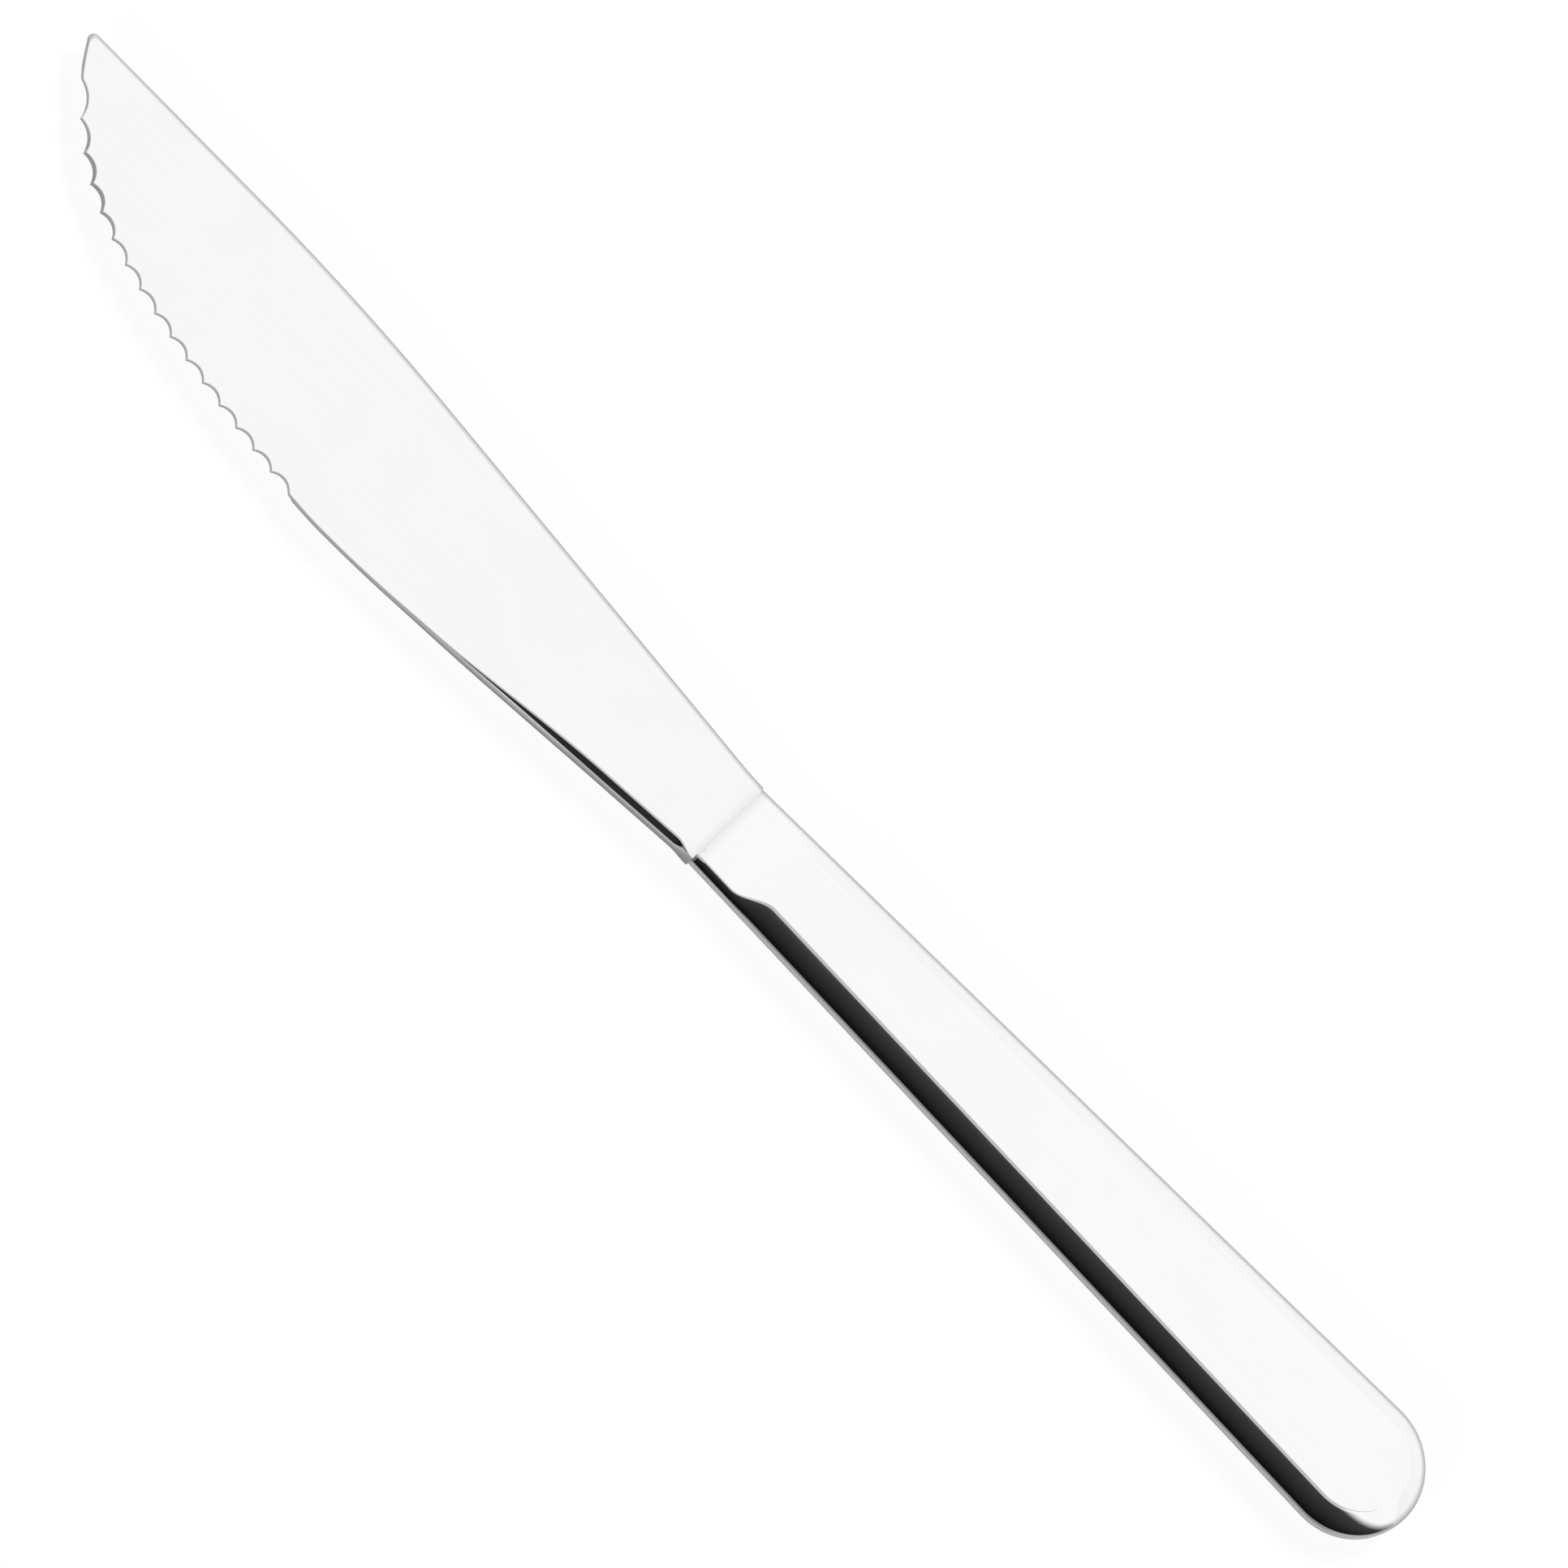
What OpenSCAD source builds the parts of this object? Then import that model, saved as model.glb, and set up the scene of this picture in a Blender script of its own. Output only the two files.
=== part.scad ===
// Table knife with a scalloped edge and a hollow handle, lying on the handle's back face.
// Sizes are in millimetres. The blade points to -X, the cutting edge faces -Y and the front face is up.

/* [Overall] */
// Length of the blade from its tip to the joint
blade_l = 117.9; // [100:0.1:135]
// Length of the handle from the joint to the butt
handle_l = 112.5; // [105:0.5:130]

/* [Blade outline] */
// Height of the spine's straight front stretch above the handle's axis
spine_rise = 13.3; // [11:0.1:16]
// Distance from the tip at which the spine bends down to the handle
spine_bend_x = 43.4; // [36:0.1:60]
// Radius of the bend in the spine
spine_bend_r = 340; // [100:10:400]
// Depth of the belly of the edge below the handle's axis
belly_drop = 10.3; // [8.5:0.1:13]
// Distance from the tip at which the belly bends up to the heel
belly_bend_x = 67; // [64:0.1:80]
// Radius of the bend at the belly
belly_bend_r = 160; // [60:10:200]
// Radius of the rounded tip
tip_r = 0.8; // [0.4:0.1:1.5]
// Part of the edge's rise that the long belly sweep takes, and the rest is the steep front
sweep_share = 0.47; // [0.3:0.01:0.7]
// How late the long belly sweep starts to rise
sweep_power = 1.5; // [1.2:0.1:2.5]
// How late the steep front starts to rise
front_power = 6.8; // [5:0.1:9]

/* [Blade section] */
// Thickness of the blade's heel and of the handle's neck at the joint
neck_t = 3; // [2.8:0.1:4]
// Thickness of the spine at the tip
spine_tip_t = 1.2; // [0.8:0.1:1.6]
// Width of the broken edges along the spine
spine_break = 0.25; // [0.1:0.05:0.4]
// Thickness of the cutting edge
edge_t = 0.4; // [0.2:0.05:0.5]
// Width of the shallow bevel along the cutting edge
edge_bevel_w = 0.7; // [0.4:0.05:0.9]
// Thickness of the blade behind the shallow bevel
edge_back_t = 0.6; // [0.55:0.05:0.9]
// Distance from the tip at which the edge starts to thicken into the heel
heel_run_x = 62.4; // [58:0.1:72]
// Length of the heel that has the full thickness, up to the joint
heel_full_l = 22; // [12:0.5:26]
// Width of the heel's bevels, seen from above
heel_bevel_w = 0.66; // [0.3:0.02:0.8]
// Step by which the heel stands below the handle's neck at the joint
heel_step = 0.05; // [0:0.05:0.5]
// Length over which the heel's bevels run out before the joint
heel_out_l = 3; // [2:0.1:6]

/* [Scallops] */
// Number of scallops ground into the edge
scallop_count = 16; // [6:1:16]
// Distance between scallops along the knife
scallop_pitch = 3.23; // [2.6:0.01:3.25]
// Depth of a scallop on the front face
scallop_depth = 0.7; // [0.4:0.05:1]
// Distance from the tip at which the last scallop ends
scallop_end_x = 54.8; // [54.6:0.1:58]
// Depth of the scallops' points behind the plain edge
tooth_inset = 0.1; // [0.05:0.05:0.6]
// Lean of the scallops' hollows towards the back face, in degrees
scallop_lean = 50; // [20:1:60]

/* [Handle] */
// Width of the handle at the joint
neck_w = 12.4; // [11:0.1:14]
// Width of the handle at its round butt
butt_w = 17.6; // [15:0.1:20]
// Thickness of the handle between its two flat faces
handle_t = 6.2; // [5.4:0.1:8]
// Height of the upright side of the handle and of the blade's heel
side_h = 2.05; // [1.6:0.05:2.4]
// Width of the handle's bevels, seen from above
bevel_w = 2.2; // [1.2:0.05:2.5]
// Width of the neck's bevels, seen from above
neck_bevel_w = 0.5; // [0.2:0.02:0.6]
// Bulge of the handle's bevels as a part of their width
bevel_crown = 0.03; // [0:0.005:0.06]
// Length of the thin neck between the joint and the shoulder
neck_l = 5.5; // [4:0.1:12]
// Length of the shoulder that rises from the neck to the full thickness
shoulder_l = 5.2; // [3:0.1:12]
// Thickness of the pressed sheet that the two halves are made of
sheet_t = 0.5; // [0.4:0.05:0.6]
// Height of the filler metal in the seam between the two halves
seam_t = 0.3; // [0.1:0.05:0.5]

/* [Joint] */
// Thickness of the solder between the blade's shoulder and the handle's mouth
solder_t = 0.3; // [0.2:0.05:0.6]
// Width of the fine groove round the joint
groove_w = 1.2; // [0.8:0.1:2]
// Depth of the fine groove round the joint
groove_d = 0.1; // [0.05:0.01:0.2]
// Width of the tang at the joint
tang_w = 8; // [6:0.1:9]
// Width of the tang at its far end
tang_end_w = 5; // [4:0.1:6]
// Thickness of the tang
tang_t = 1.5; // [1:0.1:1.6]
// Length of the tang behind the joint
tang_l = 45; // [30:1:48]

/* [Filling] */
// Length of the cement plug behind the joint
cement_l = 80; // [70:1:85]
// Distance from the joint to the balance weight
weight_x = 52; // [50:1:54]
// Length of the balance weight
weight_l = 50; // [40:1:50]
// Width of the balance weight
weight_w = 9; // [6:0.1:10]
// Thickness of the balance weight
weight_t = 4; // [2:0.1:4.2]
// Clearance between the filling and the pieces round it
fill_gap = 0.05; // [0.02:0.01:0.08]

/* [Hidden] */

// Steps along the blade, over the shoulder, round half of the butt and over a bevel
blade_steps = 60;
shoulder_steps = 12;
butt_steps = 18;
bevel_steps = 4;
// Steps over the run-out of the heel's bevels
heel_steps = 8;
// How the blade's stations crowd towards its tip
tip_crowding = 1.6;
// Least size of a face on a lofted solid
least = 0.02;
// How far a solid is carried past the plane that cuts it
over = 2;
// Larger than any section of the knife
beyond = 60;
$fn = 64;

overall_l = blade_l + handle_l;
neck_h = neck_t / 2;
handle_h = handle_t / 2;
side_half = side_h / 2;
// The knife lies on z = 0, with the origin below the middle of its outline
place_at = [-overall_l / 2, (belly_drop - spine_rise) / 2, handle_h];

steel = [0.90, 0.90, 0.91];
filler = [0.78, 0.78, 0.79];
cement = [0.72, 0.70, 0.66];

// Value at part t of the way from a to b
function mix(a, b, t) = a + (b - a) * t;
function clamp01(t) = min(1, max(0, t));
// Smooth rise from 0 to 1
function ramp(t) = let (c = clamp01(t)) c * c * (3 - 2 * c);
// Drop of a line that is level up to from, bends at radius r and then falls at slope m
function bend(x, from, r, m) =
    x <= from ? 0 : x < from + m * r ? (x - from) ^ 2 / (2 * r) : m * (x - from - m * r / 2);

// Outline of the blade, with x from the tip and y from the handle's axis
spine_slope = (spine_rise - neck_w / 2) / (blade_l - spine_bend_x);
spine_from = spine_bend_x - spine_slope * spine_bend_r / 2;
heel_slope = (belly_drop - neck_w / 2 - heel_step) / (blade_l - belly_bend_x);
belly_from = belly_bend_x - heel_slope * belly_bend_r / 2;
heel_full_x = blade_l - heel_full_l;
heel_out_x = blade_l - heel_out_l;
// Width and height left of the heel's bevels at the joint
heel_out_w = 3 * least;
tip_land = 5 * least;
edge_rise = belly_drop + spine_rise - tip_r - tip_land;

function tip_drop(x) = x >= tip_r ? 0 : tip_r - sqrt(tip_r ^ 2 - (tip_r - x) ^ 2);
function spine_y(x) = spine_rise - bend(x, spine_from, spine_bend_r, spine_slope) - tip_drop(x);
function sweep(t) = sweep_share * t ^ sweep_power + (1 - sweep_share) * t ^ front_power;
function edge_y(x) =
    x < belly_from
        ? edge_rise * sweep((belly_from - x) / belly_from) - belly_drop
        : bend(x, belly_from, belly_bend_r, heel_slope) - belly_drop;

// Section of the blade at x, as [y, z] points round it from the front of the spine
function blade_section(x) =
    let (
        top = spine_y(x),
        low = edge_y(x),
        tall = top - low,
        heel = ramp((x - heel_run_x) / (heel_full_x - heel_run_x)),
        out = ramp((x - heel_out_x) / heel_out_l),
        spine_h = mix(spine_tip_t / 2, neck_h, clamp01(x / heel_full_x)),
        edge_h = mix(mix(edge_t / 2, side_half, heel), neck_h - heel_out_w, out),
        back_h = mix(edge_back_t / 2, neck_h, heel),
        heel_bevel = mix(edge_bevel_w, heel_bevel_w, heel),
        bevel = min(mix(heel_bevel, heel_out_w, out), tall / 4),
        cut = min(spine_break, tall / 4)
    )
    [
        [top - cut, spine_h],
        [top, spine_h - cut],
        [top, cut - spine_h],
        [top - cut, -spine_h],
        [low + bevel, -back_h],
        [low, -edge_h],
        [low, edge_h],
        [low + bevel, back_h],
    ];

// Solid through equal sections at the given places along x
module skin(places, sections) {
    m = len(sections[0]);
    last = len(places) - 1;
    points = [for (i = [0:last]) for (p = sections[i]) [places[i], p[0], p[1]]];
    sides = [
        for (i = [0:last - 1])
            for (j = [0:m - 1])
                let (k = (j + 1) % m)
                    [i * m + j, i * m + k, (i + 1) * m + k, (i + 1) * m + j]
    ];
    start_cap = [for (j = [m - 1:-1:0]) j];
    end_cap = [for (j = [0:m - 1]) last * m + j];
    polyhedron(points, concat([start_cap], sides, [end_cap]), convexity = 6);
}

// Half outline of the handle from the neck to the butt, as [x, y, normal x, normal y]
butt_r = butt_w / 2;
butt_x = overall_l - butt_r;
side_run = butt_x - blade_l;
taper = asin(butt_r / norm([side_run, neck_w / 2])) - atan2(neck_w / 2, side_run);
shoulder_x = blade_l + neck_l;

function side_station(x) = [x, neck_w / 2 + (x - blade_l) * tan(taper), -sin(taper), cos(taper)];
function butt_station(a) = [butt_x + butt_r * cos(a), butt_r * sin(a), cos(a), sin(a)];
half_outline = concat(
    [side_station(blade_l - over)],
    [for (i = [0:shoulder_steps]) side_station(shoulder_x + shoulder_l * i / shoulder_steps)],
    [for (i = [0:butt_steps - 1]) butt_station((90 + taper) * (1 - i / butt_steps))],
    [[overall_l, 0, 1, 0]]
);
// Whole outline, from the neck's edge side round the butt to the neck's spine side
outline = concat(
    [for (s = half_outline) [s[0], -s[1], s[2], -s[3]]],
    [for (i = [len(half_outline) - 2:-1:0]) half_outline[i]]
);

function inset_point(s, d) = [s[0] - s[2] * d, s[1] - s[3] * d];
function plan(d) = [for (s = outline) inset_point(s, d)];

// Height of the handle's face above the middle plane, and width of its bevel
function shoulder_at(x) = ramp((x - shoulder_x) / shoulder_l);
function face_h(x) = mix(neck_h, handle_h, shoulder_at(x));
function bevel_at(x) = mix(neck_bevel_w, bevel_w, shoulder_at(x));

// Point at part t over the crowned bevel, as [inset, height]
function bevel_point(b, rise, t) =
    let (crown = 4 * bevel_crown * t * (1 - t))
    [b * t - rise * crown, side_half + rise * t + b * crown];

// Outer profile of a handle half from height z up to its face, as [inset, height]
function outer_profile(x, z) =
    let (b = bevel_at(x), rise = face_h(x) - side_half)
    concat([[0, z]], [for (i = [0:bevel_steps]) bevel_point(b, rise, i / bevel_steps)]);

// Upper half of the hollow's profile, which lies t inside the outer one
function inner_top(x, t) =
    let (
        b = bevel_at(x),
        rise = face_h(x) - side_half,
        slant = norm([b, rise]),
        top = face_h(x) - t,
        side = side_half - t * b / slant + t * (slant - rise) * rise / (b * slant),
        inset = b + t * rise / slant - t * b * (slant - b) / (rise * slant)
    )
    [[t, min(side, top - least)], [max(inset, t + least), top]];
function inner_profile(x, t, z) = concat([[t, z]], inner_top(x, t));
function hollow_profile(x, t) =
    let (up = inner_top(x, t))
    [[up[1][0], -up[1][1]], [up[0][0], -up[0][1]], up[0], up[1]];

// Solid between rings that follow the handle's outline, one profile for each outline point
module ringed(profiles) {
    n = len(outline);
    top = len(profiles[0]) - 1;
    tip = (n - 1) / 2;
    points = [
        for (j = [0:top])
            for (s = [0:n - 1])
                let (p = profiles[s][j])
                    concat(inset_point(outline[s], p[0]), [p[1]])
    ];
    sides = [
        for (j = [0:top - 1])
            for (s = [0:n - 2])
                [j * n + s, (j + 1) * n + s, (j + 1) * n + s + 1, j * n + s + 1]
    ];
    strips = [for (s = [0:tip - 2]) [s, n - 1 - s, n - 2 - s, s + 1]];
    nose = [tip - 1, n - tip, tip];
    across = concat(strips, [nose]);
    above = [for (f = across) [for (i = f) top * n + i]];
    below = [for (f = across) [for (i = [len(f) - 1:-1:0]) f[i]]];
    mouth = concat([0], [for (j = [0:top]) j * n + n - 1], [for (j = [top:-1:1]) j * n]);
    polyhedron(points, concat(sides, above, below, [mouth]), convexity = 6);
}

// Moves a child to the joint
module at_joint() translate([blade_l, 0, 0]) children();

// Everything on the blade's side of the joint, up to a distance d behind it
module before_joint(d) at_joint() translate([d - beyond, -beyond, -beyond])
    cube([beyond, 2 * beyond, 2 * beyond]);

// Everything on the handle's side of the joint, from a distance d behind it
module behind_joint(d) at_joint() translate([d, -beyond, -beyond])
    cube([beyond, 2 * beyond, 2 * beyond]);

// Fine round-bottomed groove on the four sides of the joint
module joint_groove() {
    r = (groove_w ^ 2 / 4 + groove_d ^ 2) / (2 * groove_d);
    at_joint() for (s = [-1, 1]) {
        translate([0, 0, s * (neck_h + r - groove_d)])
            rotate([90, 0, 0]) cylinder(r = r, h = beyond, center = true);
        translate([0, s * (neck_w / 2 + r - groove_d), 0])
            cylinder(r = r, h = beyond, center = true);
    }
}

// Tang behind the joint, grown by g on every side
module tang(g) linear_extrude(tang_t + 2 * g, center = true)
    polygon([
        [blade_l - over, -tang_w / 2 - g],
        [blade_l + tang_l + g, -tang_end_w / 2 - g],
        [blade_l + tang_l + g, tang_end_w / 2 + g],
        [blade_l - over, tang_w / 2 + g],
    ]);

// Point of the scalloped edge at x, set in from the plain edge
function tooth(x) =
    let (slope = (edge_y(x + least) - edge_y(x - least)) / (2 * least))
    [x, edge_y(x)] + tooth_inset * [-slope, 1] / norm([slope, 1]);

// Round hollows ground into the edge between its points, leaning in towards the back face
module scallops() {
    start = scallop_end_x - scallop_count * scallop_pitch;
    squat = scallop_depth * cos(scallop_lean);
    for (i = [0:scallop_count - 1]) {
        a = tooth(start + i * scallop_pitch);
        b = tooth(start + (i + 1) * scallop_pitch);
        chord = norm(b - a);
        r = (chord ^ 2 / 4 + squat ^ 2) / (2 * squat);
        middle = (a + b) / 2;
        translate([middle[0], middle[1], edge_back_t / 2])
            rotate([0, 0, atan2(b[1] - a[1], b[0] - a[0])])
            translate([0, (squat - r) / cos(scallop_lean), 0])
            rotate([scallop_lean, 0, 0])
            cylinder(r = r, h = beyond, center = true);
    }
}

// Balance weight, a flat bar with round ends, grown by g on every side
module weight_bar(g) linear_extrude(weight_t + 2 * g, center = true) {
    r = weight_w / 2;
    near = blade_l + weight_x + r;
    far = blade_l + weight_x + weight_l - r;
    translate([near, -r - g]) square([far - near, weight_w + 2 * g]);
    for (x = [near, far])
        translate([x, 0]) circle(r = r + g);
}

// Outer half of the handle with its hollow, above the seam
module half_shell() difference() {
    ringed([for (s = outline) outer_profile(s[0], seam_t / 2)]);
    ringed([for (s = outline) inner_profile(s[0], sheet_t, -over)]);
    before_joint(solder_t / 2);
    joint_groove();
}

module blade() {
    places = concat(
        [for (i = [0:blade_steps]) heel_out_x * (i / blade_steps) ^ tip_crowding],
        [for (i = [1:heel_steps]) heel_out_x + heel_out_l * i / heel_steps],
        [blade_l + over]
    );
    color(steel) translate(place_at) difference() {
        union() {
            difference() {
                skin(places, [for (x = places) blade_section(x)]);
                behind_joint(-solder_t / 2);
            }
            tang(0);
        }
        scallops();
        joint_groove();
    }
}

module handle_front_shell() color(steel) translate(place_at) half_shell();

module handle_back_shell() color(steel) translate(place_at) mirror([0, 0, 1]) half_shell();

module handle_seam() color(filler) translate(place_at) difference() {
    linear_extrude(seam_t, center = true) difference() {
        polygon(plan(0));
        polygon(plan(sheet_t));
    }
    before_joint(solder_t / 2);
    joint_groove();
}

module mouth_solder() {
    side = neck_w / 2;
    flat = side - neck_bevel_w;
    color(filler) translate(place_at) difference() {
        intersection() {
            translate([blade_l - over, 0, 0]) rotate([90, 0, 90]) linear_extrude(2 * over)
                polygon([
                    [side, side_half],
                    [flat, neck_h],
                    [-flat, neck_h],
                    [-side, side_half],
                    [-side, -side_half],
                    [-flat, -neck_h],
                    [flat, -neck_h],
                    [side, -side_half],
                ]);
            before_joint(solder_t / 2);
            behind_joint(-solder_t / 2);
        }
        tang(fill_gap);
        joint_groove();
    }
}

module handle_cement() color(cement) translate(place_at) difference() {
    ringed([for (s = outline) hollow_profile(s[0], sheet_t + fill_gap)]);
    before_joint(solder_t / 2 + fill_gap);
    translate([blade_l + cement_l, -beyond, -beyond]) cube([2 * beyond, 2 * beyond, 2 * beyond]);
    tang(fill_gap);
    weight_bar(fill_gap);
}

module balance_weight() color(steel) translate(place_at) weight_bar(0);

blade();
handle_front_shell();
handle_back_shell();
handle_seam();
mouth_solder();
handle_cement();
balance_weight();
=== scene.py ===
"""Table knife with a scalloped blade and a hollow handle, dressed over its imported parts.

Lengths are in metres. In the pieces' own formulas x runs from the blade's tip to the butt, y from the
handle's axis to the spine and z from the handle's middle plane to its front face.
"""

import math
from functools import partial

import bmesh
import bpy
import numpy as np
from bpy.props import FloatProperty, FloatVectorProperty, IntProperty, PointerProperty
from mathutils import Matrix, Vector


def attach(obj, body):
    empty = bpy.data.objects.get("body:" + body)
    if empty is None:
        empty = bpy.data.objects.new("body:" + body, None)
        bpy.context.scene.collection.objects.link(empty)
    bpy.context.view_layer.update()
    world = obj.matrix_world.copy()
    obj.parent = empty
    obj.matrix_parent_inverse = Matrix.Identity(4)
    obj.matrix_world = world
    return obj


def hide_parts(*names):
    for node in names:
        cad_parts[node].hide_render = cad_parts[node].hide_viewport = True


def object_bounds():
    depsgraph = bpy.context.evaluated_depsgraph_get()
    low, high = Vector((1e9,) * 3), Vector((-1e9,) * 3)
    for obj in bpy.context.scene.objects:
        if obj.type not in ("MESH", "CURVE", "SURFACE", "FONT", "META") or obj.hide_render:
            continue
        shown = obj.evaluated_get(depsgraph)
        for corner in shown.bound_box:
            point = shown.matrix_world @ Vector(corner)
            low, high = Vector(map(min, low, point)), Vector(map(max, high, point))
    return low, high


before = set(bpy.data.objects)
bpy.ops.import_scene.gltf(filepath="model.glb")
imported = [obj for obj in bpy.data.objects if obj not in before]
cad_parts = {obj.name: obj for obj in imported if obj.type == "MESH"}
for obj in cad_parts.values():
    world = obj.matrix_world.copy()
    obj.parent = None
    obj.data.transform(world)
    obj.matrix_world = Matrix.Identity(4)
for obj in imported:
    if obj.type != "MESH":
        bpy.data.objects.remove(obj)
cad_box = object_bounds()

bl_info = {
    "name": "Table knife",
    "version": (1, 0, 0),
    "blender": (4, 5, 0),
    "location": "3D View > Sidebar > Knife",
    "description": "Makes the visible pieces, finishes and studio of a scalloped table knife",
    "category": "Add Mesh",
}

MM = 0.001
BODY = "root"
CAD_LOW = np.array(cad_box[0])
CAD_SIZE = np.array(cad_box[1]) - CAD_LOW
# Sizes in millimetres that other sizes are worked out from
BLADE_MM = 117.9
BELLY_MM = 10.3

# A corner is eased by a parabola in this many steps
EASE_STEPS = 6
# The flats beside it are held flat from this many times its reach
EASE_HOLD = 1.7
# Its reach is at most this share of the shorter side
EASE_SHARE = 0.28
# Reach of the finest edges
FINE = 0.05 * MM
# Points of the grids
ARC_STEPS = 22
TIP_STATIONS = 26
# After the last scallop, along the plain edge, over the run-out of the bevels and in the groove
HEEL_STATIONS = (8, 80, 16, 16)
# In the groove, along the neck, over the shoulder and along the handle
SIDE_STATIONS = (16, 8, 30, 24)
BUTT_STATIONS = 44
WALL_POINTS = 4
BEVEL_POINTS = 10
# Points closer than this become one
WELD = 1e-8

# Painted shade on the lip and on the wall under it, along the edge and round its steep front
LIP_PAINTED_SHADE = (0.35, 0.64)
WALL_PAINTED_SHADE = (0.84, 1)
# Painted shade on the heel's side, the spine's edges, the handle's side and its bevel's lower end
HEEL_PAINTED_SHADE = 0.75
SPINE_PAINTED_SHADE = 0.78
SIDE_PAINTED_SHADE = 0.6
BEVEL_PAINTED_SHADE = 0.88
# Brightness of the painted shade as a part of the ground steel's
PAINTED_SHADE_TONE = 0.55

# The studio's dark strip: the tilt of its top and its tones by height above that tilted plane
STRIP_TOP_TILT = 0.43
STRIP_RANGE = (-0.1, 0.1)
STRIP_TONES = ((0, 0.005), (0.32, 0.008), (0.46, 0.019), (0.58, 0.029), (0.745, 0.042), (0.865, 1))
# The tilt of the strip's foot, and the heights over which it ends
STRIP_FOOT_TILT = 0.3
STRIP_FOOT = (0.035, 0.06)
# Parts of a direction over which the walls change: z and y for the greys, x and z for the white at the butt
LOW_WALL_RANGE = (0.0, 0.5)
ROOF_RANGE = (-0.05, 0.12)
BUTT_RANGE = (0.45, 0.75)
HIGH_RANGE = (0.42, 0.5)
# Side of the lamps, and their places behind and before the knife
LAMP_SIZE = 0.4
KEY_PLACE = (0.1, 0.78, 0.93)
LOW_PLACE = (-0.1, -1.06, 0.57)
# Faces that meet at more than this stay sharp
SHARP = math.radians(40)


def linear(code):
    """Linear colour of an sRGB hex value."""
    parts = [int(code[i : i + 2], 16) / 255 for i in (0, 2, 4)]
    return [p / 12.92 if p <= 0.04045 else ((p + 0.055) / 1.055) ** 2.4 for p in parts]


def share(name, description, default, **options):
    """A plain number, such as a share or a power, or one with a unit."""
    return FloatProperty(name=name, description=description, default=default, **options)


def length(name, description, millimetres):
    """A length that is written in millimetres and kept in metres."""
    return share(name, description, millimetres * MM, unit="LENGTH", precision=5)


def angle(name, description, degrees):
    """An angle that is written in degrees."""
    return share(name, description, math.radians(degrees), subtype="ANGLE")


def tint(name, description, code):
    """A colour that is written as an sRGB hex value."""
    return FloatVectorProperty(
        name=name, description=description, default=linear(code), subtype="COLOR", min=0, max=1
    )


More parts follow.
